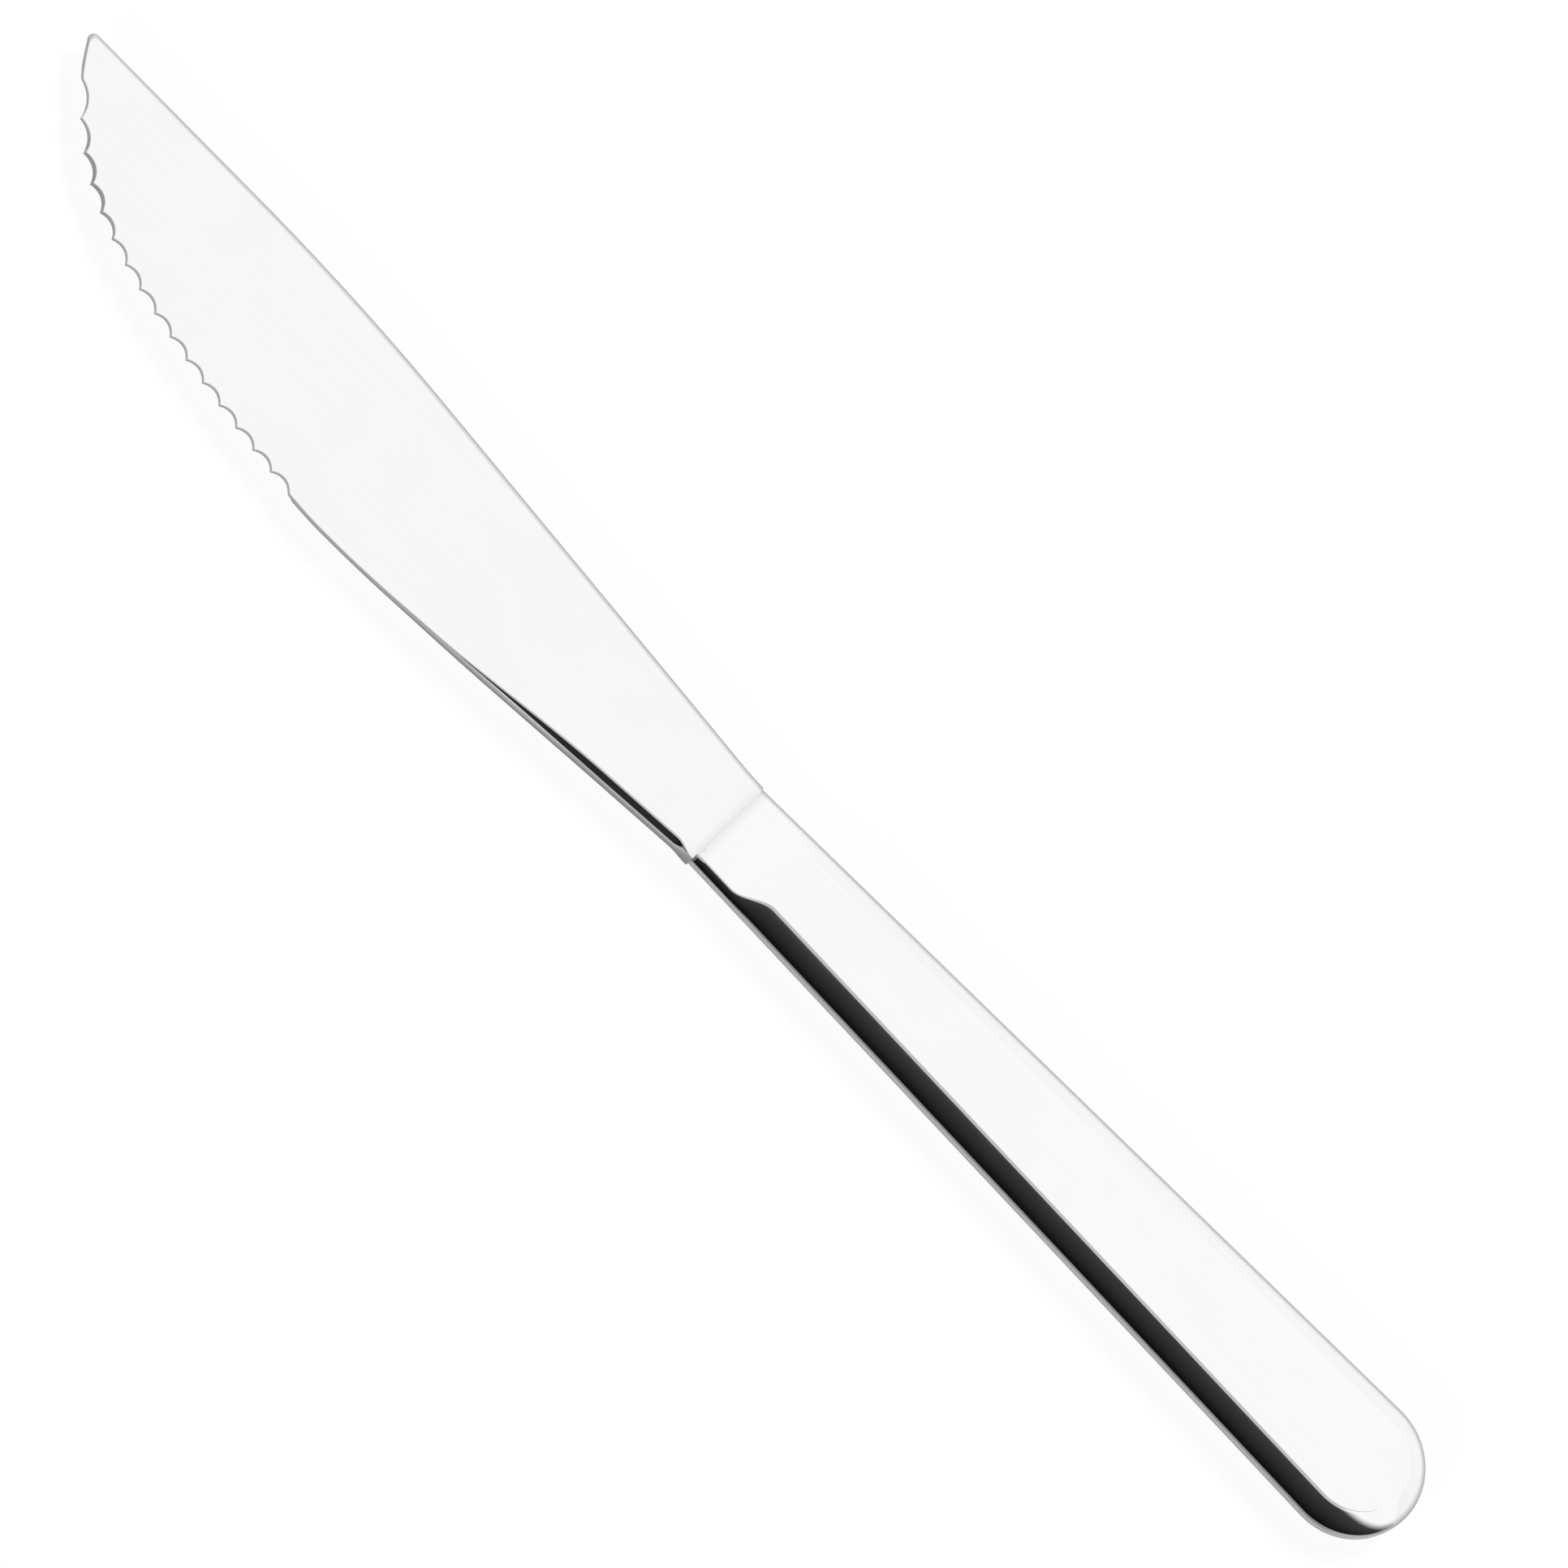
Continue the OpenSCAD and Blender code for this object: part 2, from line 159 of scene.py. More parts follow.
class KnifeSizes(bpy.types.PropertyGroup):
    """Sizes of the knife's pieces"""

    blade_l: length("Blade length", "From the tip to the joint", BLADE_MM)
    spine_rise: length("Spine rise", "Front spine above the axis", CAD_SIZE[1] / MM - BELLY_MM)
    spine_bend_x: length("Spine bend place", "From the tip to the bend in the spine", 43.4)
    spine_bend_r: length("Spine bend radius", "Radius of the bend in the spine", 340)
    spine_out_l: length("Spine run-out", "Length of the rounded end of the spine at the joint", 3.8)
    belly_drop: length("Belly drop", "Belly of the edge below the axis", BELLY_MM)
    belly_bend_x: length("Belly bend place", "From the tip to the bend at the belly", 66)
    belly_bend_r: length("Belly bend radius", "Radius of the bend at the belly", 160)
    tip_r: length("Tip radius", "Radius of the rounded tip", 0.8)
    sweep_share: share("Sweep share", "Part of the edge's rise in its long sweep", 0.47)
    sweep_power: share("Sweep power", "How late the long sweep rises", 1.5)
    front_power: share("Front power", "How late the steep front rises", 6.8)
    spine_tip_t: length("Spine at the tip", "Thickness of the spine at the tip", 1.2)
    spine_round: length("Spine rounding", "Reach of the rounded spine edges", 0.42)
    edge_back_t: length("Back of the edge", "Thickness of the blade behind its edge", 0.6)
    lip_w: length("Lip width", "Width of the broken edge along the blade", 0.27)
    lip_front_w: length("Front lip width", "Width of the broken edge round the steep front", 0.44)
    lip_h: length("Lip height", "Height of the broken edge along the blade", 0.17)
    heel_run_x: length("Heel start", "From the tip to where the edge starts to thicken", 62.4)
    heel_full_l: length("Full heel", "Length of the heel that has the full thickness", 15)
    heel_bevel_w: length("Heel bevel width", "Width of the heel's bevels from above", 0.845)
    heel_bevel_h: length("Heel bevel height", "Height of the heel's bevels", 0.815)
    bevel_from_x: length("Heel bevel start", "From the tip to where the heel's bevels start to widen", 78)
    bevel_grow_l: length("Heel bevel growth", "Length over which the heel's bevels widen", 26)
    bevel_least: length("Least bevel", "Width of the heel's bevels where they start", 0.1)
    heel_round: length("Heel side rounding", "Rounding between the heel's side and its bevels", 0.2)
    heel_face_round: length("Heel face rounding", "Rounding between the heel's bevels and faces", 0.14)
    heel_step: length("Heel step", "Heel below the neck at the joint", -0.01)
    heel_out_l: length("Heel run-out", "Length of the run-out of the heel's bevels", 3)
    scallop_count: IntProperty(name="Scallops", description="Number of scallops", default=16)
    scallop_pitch: length("Scallop pitch", "Distance between scallops along the knife", 3.23)
    scallop_depth: length("Scallop depth", "Depth of a scallop on the front face", 0.7)
    scallop_end_x: length("Scallop end", "From the tip to the end of the last scallop", 54.8)
    tooth_inset: length("Tooth inset", "Scallops' points behind the plain edge", 0.1)
    scallop_lean: angle("Scallop lean", "Lean of the hollows to the back face", 50)
    neck_w: length("Neck width", "Width of the handle at the joint", 12.6)
    neck_t: length("Neck thickness", "Thickness of the knife at the joint", 3)
    handle_l: length("Handle length", "From the joint to the butt", CAD_SIZE[0] / MM - BLADE_MM)
    handle_t: length("Handle thickness", "Between the two flat faces", CAD_SIZE[2] / MM)
    butt_w: length("Butt width", "Width of the handle at its round butt", 17.66)
    side_h: length("Side height", "Height of the upright side of the handle", 1.27)
    bevel_w: length("Bevel width", "Width of the handle's bevels from above", 2.56)
    neck_bevel_w: length("Neck bevel", "Width of the neck's bevels from above", 0.89)
    bevel_crown: share("Bevel crown", "Bulge of the bevels as a part of their width", 0.006)
    side_round: length("Side rounding", "Rounding between side and bevel", 0.05)
    face_round: length("Face rounding", "Rounding between bevel and flat face", 0.07)
    # Reach of the painted shade line along the handle's bevels
    shade_line_w: length("Dull edge", "Reach of the dull line along the handle's bevels", 1.2)
    rim_round: length("Rim rounding", "Rounding of the halves beside the seam", 0.06)
    neck_l: length("Neck length", "From the joint to the shoulder", 5.5)
    shoulder_l: length("Shoulder length", "Rise from the neck to the full thickness", 5.2)
    sheet_t: length("Sheet", "Thickness of the pressed sheet", 0.5)
    seam_t: length("Seam height", "Height of the filler metal in the side seam", 0.3)
    seam_sink: length("Seam sink", "Depth of the seam behind the sides", 0.03)
    solder_t: length("Solder", "Thickness of the solder in the joint", 0.3)
    solder_depth: length("Solder depth", "How far the solder reaches in from the neck's faces", 0.9)
    groove_w: length("Groove width", "Width of the soft groove across the joint's faces", 2.8)
    groove_d: length("Groove depth", "Depth of the soft groove across the joint's faces", 0.1)
    tang_w: length("Tang width", "Width of the tang at the joint", 8)
    tang_end_w: length("Tang end width", "Width of the tang at its far end", 5)
    tang_t: length("Tang thickness", "Thickness of the tang", 1.5)
    tang_l: length("Tang length", "Length of the tang behind the joint", 45)


class KnifeColours(bpy.types.PropertyGroup):
    """Colours of the materials"""

    blade_steel: tint("Blade steel", "Polished steel of the blade", "F2F2F2")
    handle_steel: tint("Handle steel", "Polished steel of the handle", "F5F3F4")
    # Also the grey that the painted shade on edges and in the joint's groove darkens towards
    ground_steel_and_shade: tint("Ground steel", "Freshly ground steel in the scallops", "B9BABC")
    filler_metal: tint("Filler metal", "Ground filler metal of the seam and the joint", "EBEBEA")
    cement: tint("Cement", "Cast filling of the handle", "CBC9C2")
    weight_steel: tint("Weight steel", "Rolled steel of the balance weight", "77787A")
    paper: tint("Paper", "Matt paper of the floor", "F6F6F6")


class KnifeStage(bpy.types.PropertyGroup):
    """Camera and studio"""

    photo_size: IntProperty(name="Image size", description="Pixels along a side", default=1932)
    pixels_per_mm: share("Pixels per millimetre", "Scale of the image at the knife", 10.578)
    origin_px: FloatVectorProperty(
        name="Origin pixel",
        description="Place of the knife's origin in the image, from its top left corner",
        size=2,
        default=(876.55, 997.13),
    )
    elevation: angle("Elevation", "Camera above the horizon", 68)
    roll: angle("Roll", "Turn of the camera about its line of sight", 45.498)
    distance: length("Distance", "Camera to the knife's origin", 1200)
    floor_size: length("Floor size", "Side of the floor", 8000)
    sky: share("Sky", "Brightness of the studio's white walls in the metal", 1.06)
    low_wall: share("Low walls", "Brightness of the walls at the floor as a part of the sky's", 0.6)
    roof: share("Roof", "Brightness of the roof over the knife as a part of the sky's", 0.55)
    fill: share("Fill", "Brightness of the walls as a light", 0.2)
    key_power: share("Key lamp", "Watts of the lamp behind the knife", 13.7)
    low_power: share("Low lamp", "Watts of the lamp before the knife", 7.3)


def mix(a, b, t):
    """Value at part t of the way from a to b."""
    return a + (b - a) * t


def ramp(t):
    """Smooth rise from 0 to 1: three times the square less twice the cube of t."""
    c = np.clip(t, 0, 1)
    return c * c * (3 - 2 * c)


def bend(x, start, radius, slope):
    """Drop of a line that is level up to start, bends at a radius and then falls at a slope.

    In the bend it is the square of the distance from start over twice the radius.
    """
    turn = np.clip(x - start, 0, slope * radius)
    return turn**2 / (2 * radius) + slope * np.maximum(x - start - slope * radius, 0)


def between(count):
    """Even shares of the way between two ends, without the ends."""
    return np.linspace(0, 1, count + 2)[1:-1]


def runs(places, counts):
    """Even points from each place to the next, by the counts of points, without the last place."""
    spans = zip(places, places[1:], counts)
    return np.concatenate([np.linspace(start, end, count)[:-1] for start, end, count in spans])


def unit(vectors):
    """Vectors scaled to length 1."""
    least = 1e-12
    size = np.linalg.norm(vectors, axis=-1, keepdims=True)
    return vectors / np.maximum(size, least)


def parabola(a, corner, b):
    """Points that ease a corner from a to b along a parabola.

    Each is a times the square of the part left, plus the corner times twice the part left times the part
    gone, plus b times the square of the part gone.
    """
    t = np.linspace(0, 1, EASE_STEPS + 1)[:, None]
    return (1 - t) ** 2 * a + 2 * t * (1 - t) * corner + t**2 * b


def eased_loop(corners, reach, middle):
    """Closed profiles, one for each station, with every corner eased by a short parabola.

    corners is stations by corners by 3. The parabola starts and ends at reach from the corner along its
    two sides, a point further out on each side keeps the flats flat, and middle points follow on the
    side after each corner.
    """
    before = np.roll(corners, 1, axis=1) - corners
    after = np.roll(corners, -1, axis=1) - corners
    short = np.minimum(np.linalg.norm(before, axis=2), np.linalg.norm(after, axis=2))
    reach = np.minimum(np.broadcast_to(reach, short.shape), EASE_SHARE * short)[..., None]
    step_in, step_out = unit(before) * reach, unit(after) * reach
    hold_in = corners + EASE_HOLD * step_in
    hold_out = corners + EASE_HOLD * step_out
    columns = []
    for c, points in enumerate(middle):
        here = corners[:, c, None]
        columns.append(hold_in[:, c, None])
        columns.append(parabola(here + step_in[:, c, None], here, here + step_out[:, c, None]))
        columns.append(hold_out[:, c, None])
        hold_next = hold_in[:, (c + 1) % len(middle), None]
        columns.append(mix(hold_out[:, c, None], hold_next, between(points)[:, None]))
    return np.concatenate(columns, axis=1)


def loop_marks(before, at, after, middle):
    """Marks for the points of eased loops, from the marks of the corners.

    Each corner has a row of marks for itself, one for the side before it and one for the side after it.
    The marks are mixed smoothly between.
    """
    t = np.linspace(0, 1, EASE_STEPS + 1)
    share_at = np.concatenate([[0], 1 - np.abs(t - 0.5), [0]])
    is_before = np.arange(EASE_STEPS + 3) < EASE_STEPS / 2 + 1.5
    columns = []
    for c, points in enumerate(middle):
        side = np.where(is_before, before[c][:, None], after[c][:, None])
        columns.append(mix(side, at[c][:, None], share_at))
        before_next = before[(c + 1) % len(middle)][:, None]
        columns.append(mix(after[c][:, None], before_next, ramp(between(points))))
    return np.concatenate(columns, axis=1)


def quads(rows, columns, wrap_rows=False):
    """Corner numbers of the faces of a grid of closed rows, whose last row may join the first."""
    i = np.arange(rows if wrap_rows else rows - 1)[:, None]
    j = np.arange(columns)[None]
    i_next, j_next = (i + 1) % rows, (j + 1) % columns
    corners = [i * columns + j, i * columns + j_next, i_next * columns + j_next, i_next * columns + j]
    return np.stack(np.broadcast_arrays(*corners), axis=-1).reshape(-1, 4)


def tube(loops):
    """Faces of a row of closed loops with both ends capped."""
    rows, columns = loops.shape[:2]
    ends = [range(columns), range((rows - 1) * columns, rows * columns)]
    return quads(rows, columns).tolist() + [list(end) for end in ends]


def make_piece(name, points, faces, marks, nodes, material):
    """Object of a closed mesh at its place in the row frame, riding on the knife.

    marks holds named values for the points, which the materials read.
    """
    k = bpy.context.scene.knife_sizes
    axis_at = CAD_LOW + [0, k.belly_drop, k.handle_t / 2]
    mesh = bpy.data.meshes.new(name)
    mesh.from_pydata((points.reshape(-1, 3) + axis_at).tolist(), [], faces)
    for mark, values in marks.items():
        layer = mesh.attributes.new(mark, "FLOAT", "POINT")
        layer.data.foreach_set("value", np.ravel(values).astype(np.float32))
    work = bmesh.new()
    work.from_mesh(mesh)
    bmesh.ops.remove_doubles(work, verts=work.verts, dist=WELD)
    bmesh.ops.dissolve_degenerate(work, edges=work.edges, dist=WELD)
    bmesh.ops.recalc_face_normals(work, faces=work.faces)
    work.to_mesh(mesh)
    work.free()
    mesh.shade_smooth()
    mesh.set_sharp_from_angle(angle=SHARP)
    mesh.materials.append(material)
    piece = bpy.data.objects.new(name, mesh)
    bpy.context.scene.collection.objects.link(piece)
    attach(piece, BODY)
    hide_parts(*nodes)


def haze(points, k):
    """Part of the full depth of the joint's soft groove, where the polish is hazier and the steel gets
    painted shade.

    It is a squared cosine of the distance from the joint, on the flat faces alone.
    """
    away = np.abs(points[..., 0] - k.blade_l)
    wave = np.cos(np.pi * np.minimum(away / k.groove_w, 0.5))
    rise = 2 * np.abs(points[..., 2]) / k.neck_t
    flat_from, flat_run = 0.9, 0.1
    return wave**2 * ramp((rise - flat_from) / flat_run)


def grooved(points, k):
    """Points with their faces drawn in by the depth of the joint's groove."""
    drawn = points.copy()
    drawn[..., 2] *= 1 - 2 * k.groove_d * haze(points, k) / k.neck_t
    return drawn


class BladeForm:
    """Outline and thickness of the blade.

    The spine is level, bends at a radius, falls straight and levels out at the neck, with a quarter circle
    at the tip. The edge rises from its belly to the tip by the sum of two powers and climbs straight to
    the heel.
    """

    def __init__(self, k):
        self.k = k
        fall_l = k.blade_l - k.spine_out_l / 2 - k.spine_bend_x
        self.spine_slope = (k.spine_rise - k.neck_w / 2) / fall_l
        self.spine_from = k.spine_bend_x - self.spine_slope * k.spine_bend_r / 2
        heel_rise = k.belly_drop - k.neck_w / 2 - k.heel_step
        self.heel_slope = heel_rise / (k.blade_l - k.belly_bend_x)
        self.belly_from = k.belly_bend_x - self.heel_slope * k.belly_bend_r / 2
        self.heel_full = k.blade_l - k.heel_full_l
        tip_land = 0.1 * MM
        self.edge_rise = k.belly_drop + k.spine_rise - k.tip_r - tip_land
        self.end = k.blade_l - k.solder_t / 2

    def spine(self, x):
        """Height of the spine."""
        k = self.k
        into_tip = np.clip(k.tip_r - x, 0, k.tip_r)
        tip_drop = k.tip_r - np.sqrt(k.tip_r**2 - into_tip**2)
        slope = self.spine_slope
        fall = bend(x, self.spine_from, k.spine_bend_r, slope)
        level_out = bend(x, k.blade_l - k.spine_out_l, k.spine_out_l / slope, slope)
        return k.spine_rise - fall + level_out - tip_drop

    def edge(self, x):
        """Height of the plain edge, before the scallops."""
        k = self.k
        t = np.maximum((self.belly_from - x) / self.belly_from, 0)
        sweep = k.sweep_share * t**k.sweep_power + (1 - k.sweep_share) * t**k.front_power
        climb = bend(x, self.belly_from, k.belly_bend_r, self.heel_slope)
        return self.edge_rise * sweep + climb - k.belly_drop

    def inward(self, x):
        """Unit normal of the plain edge, pointing into the blade."""
        step = 0.01 * MM
        slope = (self.edge(x + step) - self.edge(x - step)) / (2 * step)
        return unit(np.stack([-slope, np.ones_like(x)], axis=-1))

    def plain(self, x):
        """Points of the plain edge."""
        return np.stack([x, self.edge(x)], axis=-1)

    def heel(self, x):
        """Part of the heel's thickening at x."""
        k = self.k
        return ramp((x - k.heel_run_x) / (self.heel_full - k.heel_run_x))

    def run_out(self, x):
        """Part of the run-out of the heel's bevels at x."""
        k = self.k
        return ramp((x - self.end) / k.heel_out_l + 1)

    def half_thickness(self, points):
        """Half thickness, which grows evenly from the edge to the spine at each x."""
        k = self.k
        x, y = points[..., 0], points[..., 1]
        low, top = self.edge(x), self.spine(x)
        at_edge = mix(k.edge_back_t / 2, k.neck_t / 2, self.heel(x))
        at_spine = mix(k.spine_tip_t / 2, k.neck_t / 2, np.clip(x / self.heel_full, 0, 1))
        return mix(at_edge, at_spine, np.clip((y - low) / (top - low), 0, 1))

    def bevel(self, x):
        """Width and rise of the bevel.

        It is the lip of the edge, which is wider round the steep front, narrows to the heel, widens there
        to the heel's bevel and runs out at the joint.
        """
        k = self.k
        lip_end = 0.55
        narrow = np.minimum(self.heel(x) / lip_end, 1)
        grow, out = ramp((x - k.bevel_from_x) / k.bevel_grow_l), self.run_out(x)
        left = 0.06 * MM
        lip = mix(k.lip_w, k.lip_front_w, self.front(x))
        steep = k.heel_bevel_h / k.heel_bevel_w
        width = mix(mix(lip, k.bevel_least, narrow), k.heel_bevel_w, grow)
        rise = mix(mix(lip * k.lip_h / k.lip_w, k.bevel_least * steep, narrow), k.heel_bevel_h, grow)
        return mix(width, left, out), mix(rise, left, out)

    def front(self, x):
        """Part of the steep front of the edge at x, which fades to the tip and to the belly."""
        start, start_l, end, end_l = 5 * MM, 6 * MM, 13 * MM, 9 * MM
        return ramp((x - start) / start_l) * (1 - ramp((x - end) / end_l))

    def scalloped_edge(self):
        """Stations of the edge: x on the plain edge, points of the front edge and part of the full hollow.

        A scallop is the arc of an ellipse over the chord between two teeth: the circle through the teeth,
        stretched away from the chord by the lean of the grinding wheel.
        """
        k = self.k
        first = k.scallop_end_x - k.scallop_count * k.scallop_pitch
        teeth_x = first + k.scallop_pitch * np.arange(k.scallop_count + 1)
        teeth = self.plain(teeth_x) + self.inward(teeth_x) * k.tooth_inset
        chord = teeth[1:] - teeth[:-1]
        span = np.linalg.norm(chord, axis=1)[:, None]
        squat = k.scallop_depth * math.cos(k.scallop_lean)
        radius = (span**2 / 4 + squat**2) / (2 * squat)
        part = (1 - np.cos(np.linspace(0, np.pi, ARC_STEPS + 1)[:-1])) / 2
        along = (part - 0.5) * span
        sag = (squat - radius + np.sqrt(radius**2 - along**2)) / math.cos(k.scallop_lean)
        tangent = unit(chord)
        normal = np.stack([-tangent[:, 1], tangent[:, 0]], axis=-1)
        middle = (teeth[1:] + teeth[:-1])[:, None] / 2
        arcs = middle + along[..., None] * tangent[:, None] + sag[..., None] * normal[:, None]
        arcs_x = teeth_x[:-1, None] + part * k.scallop_pitch

        gap, run, close = 0.3 * MM, 0.8 * MM, 2 * MM
        tip_x = np.linspace(0, first - gap, TIP_STATIONS)
        last, end = k.scallop_end_x, self.end
        places = [last + gap, last + close, end - k.heel_out_l, end - k.groove_w / 2, end]
        heel_x = np.append(runs(places, HEEL_STATIONS), end)
        x = np.concatenate([tip_x, arcs_x.ravel(), [last], heel_x])
        points = np.concatenate([self.plain(tip_x), arcs.reshape(-1, 2), teeth[-1:], self.plain(heel_x)])
        outside = np.maximum(first - x, x - last)
        return x, points, np.clip(1 - outside / run, 0, 1)


def blade_loops(k):
    """Closed sections of the blade from the tip to the joint, as stations by points by 3.

    Six corners make a section: the front lip's two, the spine's two and the back lip's two. The faces are
    straight from the lip to the spine, and the ground hollow is straight from the front lip to the back.
    Also returns the points' marks: how far they are ground hollow and how much painted shade their edges
    get.
    """
    form = BladeForm(k)
    x, front, hollow = form.scalloped_edge()
    inward = form.inward(x)
    lean = hollow * k.edge_back_t * math.tan(k.scallop_lean)
    back = front + inward * lean[:, None]
    walk = np.concatenate([[0], np.cumsum(np.linalg.norm(np.diff(form.plain(x), axis=0), axis=1))])
    spine_x = form.end * walk / walk[-1]
    spine = np.stack([spine_x, form.spine(spine_x)], axis=-1)
    width, rise = form.bevel(x)
    widest_lip, back_lip_share = 0.25, 0.2
    room = widest_lip * np.linalg.norm(spine - front, axis=1)
    keep = np.minimum(1, room / width)
    sharp = mix(1, back_lip_share, hollow)
    front_lip = front + inward * (width * keep)[:, None]
    back_lip = back + inward * (width * keep * sharp)[:, None]
    front_h, back_h = form.half_thickness(front_lip), form.half_thickness(back_lip)
    spine_h = form.half_thickness(spine)
    plans = np.stack([front, front_lip, spine, spine, back_lip, back], axis=1)
    low_h, foot_h = front_h - rise * keep, rise * keep * sharp - back_h
    heights = np.stack([low_h, front_h, spine_h, -spine_h, -back_h, foot_h], axis=1)
    corners = np.concatenate([plans, heights[..., None]], axis=2)
    none, heel, steep = np.zeros_like(x), form.heel(x), form.front(x)
    low, high = mix(FINE, k.heel_round, heel), mix(FINE, k.heel_face_round, heel)
    spine_reach = np.full_like(x, k.spine_round)
    reach = np.stack([low, high, spine_reach, spine_reach, high, low], axis=1)
    face_points, wall_points = 8, 5
    middle = [1, face_points, wall_points, face_points, 1, wall_points]
    # Painted shade on the lip, the wall under it, the spine's edges and the back foot
    lip = (1 - heel) * mix(*LIP_PAINTED_SHADE, steep)
    side = mix((1 - heel) * mix(*WALL_PAINTED_SHADE, steep), HEEL_PAINTED_SHADE, heel**3)
    foot = np.ones_like(x)
    top = np.full_like(x, SPINE_PAINTED_SHADE)
    to_hollow, from_hollow = [none] * 5 + [hollow], [hollow] + [none] * 5
    ground = loop_marks(from_hollow, to_hollow, to_hollow, middle)
    painted_shade = loop_marks(
        [side, lip, none, top, none, none],
        [side, lip / 2, top, top, none, foot],
        [lip, none, top, none, none, foot],
        middle,
    )
    return eased_loop(corners, reach, middle), ground, painted_shade


def tang_loops(k):
    """Closed sections of the tang, a flat bar that tapers from the joint to its far end."""
    x = k.blade_l + np.array([-k.solder_t, k.tang_l])
    half = np.array([[k.tang_w, k.tang_t], [k.tang_end_w, k.tang_t]]) / 2
    sides = np.array([[-1, -1], [1, -1], [1, 1], [-1, 1]])
    along = np.broadcast_to(x[:, None, None], (2, 4, 1))
    corners = np.concatenate([along, half[:, None] * sides], axis=-1)
    corner_reach = 0.2 * MM
    return eased_loop(corners, corner_reach, [0, 0, 0, 0])


class HandleForm:
    """Outline and profile of the handle.

    The sides run straight from the neck to where they touch the butt's circle. The face's height and the
    bevel's width rise smoothly over the shoulder.
    """

    def __init__(self, k):
        self.k = k
        self.butt_r = k.butt_w / 2
        self.butt_x = k.blade_l + k.handle_l - self.butt_r
        side_run = self.butt_x - k.blade_l
        to_neck = math.hypot(side_run, k.neck_w / 2)
        self.taper = math.asin(self.butt_r / to_neck) - math.atan2(k.neck_w / 2, side_run)

    def side(self, x):
        """Stations of the straight side, as x, y and the outward normal."""
        y = self.k.neck_w / 2 + (x - self.k.blade_l) * math.tan(self.taper)
        normal = np.broadcast_to([-math.sin(self.taper), math.cos(self.taper)], (len(x), 2))
        return np.column_stack([x, y, normal])

    def butt(self, turn):
        """Stations of the round butt at angles from its end."""
        normal = np.column_stack([np.cos(turn), np.sin(turn)])
        middle = np.array([self.butt_x, 0])
        return np.column_stack([middle + self.butt_r * normal, normal])

    def half_outline(self):
        """Stations from the joint to the end of the butt."""
        k = self.k
        mouth = k.blade_l + k.solder_t / 2
        shoulder = k.blade_l + k.neck_l
        turn = np.linspace(math.pi / 2 + self.taper, 0, BUTT_STATIONS)
        butt = self.butt(turn)
        places = [mouth, mouth + k.groove_w / 2, shoulder, shoulder + k.shoulder_l, butt[0, 0]]
        return np.concatenate([self.side(runs(places, SIDE_STATIONS)), butt])

    def rise(self, x):
        """Bevel's width and height of the face above the middle plane."""
        k = self.k
        t = ramp((x - k.blade_l - k.neck_l) / k.shoulder_l)
        return mix(k.neck_bevel_w, k.bevel_w, t), mix(k.neck_t, k.handle_t, t) / 2

    def bevel_point(self, x, t):
        """Inset and height at part t over the bevel, which bulges by a parabola."""
        k = self.k
        width, face = self.rise(x)
        climb = face - k.side_h / 2
        crown = 4 * k.bevel_crown * t * (1 - t)
        return np.stack([width * t - climb * crown, k.side_h / 2 + climb * t + width * crown], axis=-1)

    def side_profile(self, x, start):
        """Inset and height from the upright side over the bevel to the flat face, one profile for each x.

        The wall is straight, the bevel is crowned, and parabolas ease the corners between them.
        """
        k = self.k
        x = np.asarray(x)[:, None]
        width, face = self.rise(x)
        slant = np.hypot(width, face - k.side_h / 2)
        low_reach = np.minimum(k.side_round, EASE_SHARE * slant)
        high_reach = np.minimum(k.face_round, EASE_SHARE * slant)
        low_t, high_t = low_reach / slant, 1 - high_reach / slant

        def at(inset, height):
            return np.stack(np.broadcast_arrays(inset, height + 0 * x), axis=-1)

        wall_top = k.side_h / 2 - low_reach
        wall = at(0 * x, mix(start, wall_top, np.linspace(0, 1, WALL_POINTS, endpoint=False)))
        low = parabola(at(0 * x, wall_top), at(0 * x, k.side_h / 2), self.bevel_point(x, low_t))
        over = self.bevel_point(x, mix(low_t, high_t, between(BEVEL_POINTS)))
        high = parabola(self.bevel_point(x, high_t), at(width, face), at(width + high_reach, face))
        flat = at(width + EASE_HOLD * high_reach, face)
        return np.concatenate([wall, low, over, high, flat], axis=1)

    def inner_profile(self, x, points):
        """Inset and height of the sheet's inside, parallel to the outside, in a given number of points."""
        k = self.k
        width, face = self.rise(np.asarray(x))
        climb = face - k.side_h / 2
        slant = np.hypot(width, climb)
        t = k.sheet_t
        side = k.side_h / 2 - t * width / slant + t * (slant - climb) * climb / (width * slant)
        inset = width + t * climb / slant - t * width * (slant - width) / (climb * slant)
        least = 0.02 * MM
        top = face - t
        corners = np.stack([
            np.stack(np.broadcast_arrays(t, k.seam_t / 2 + 0 * top), axis=-1),
            np.stack(np.broadcast_arrays(t, np.minimum(side, top - least)), axis=-1),
            np.stack([np.maximum(inset, t + least), top], axis=-1),
        ], axis=1)
        place = np.linspace(0, 2, points)
        i = np.minimum(place.astype(int), 1)
        return mix(corners[:, i], corners[:, i + 1], (place - i)[:, None])


def across(stations, profile, middle):
    """Rows of points from one side of the handle over its face to the other side."""
    out = stations[:, None, :2] - stations[:, None, 2:] * profile[..., :1]
    near = np.concatenate([out * [1, -1], profile[..., 1:]], axis=-1)
    far = np.concatenate([out, profile[..., 1:]], axis=-1)
    face = mix(near[:, -1:], far[:, -1:], between(middle)[:, None])
    return np.concatenate([near, face, far[:, ::-1]], axis=1)


def side_shade_marks(profile, k):
    """Painted shade marks of a side profile.

    The side gets painted shade, and so does the bevel's lower end, by a share that falls evenly with the
    distance from the side.
    """
    away = np.hypot(profile[..., 0], profile[..., 1] - k.side_h / 2)
    above = BEVEL_PAINTED_SHADE * np.clip(1 - away / k.shade_line_w, 0, 1)
    return np.where(profile[..., 1] < k.side_h / 2, SIDE_PAINTED_SHADE, above)


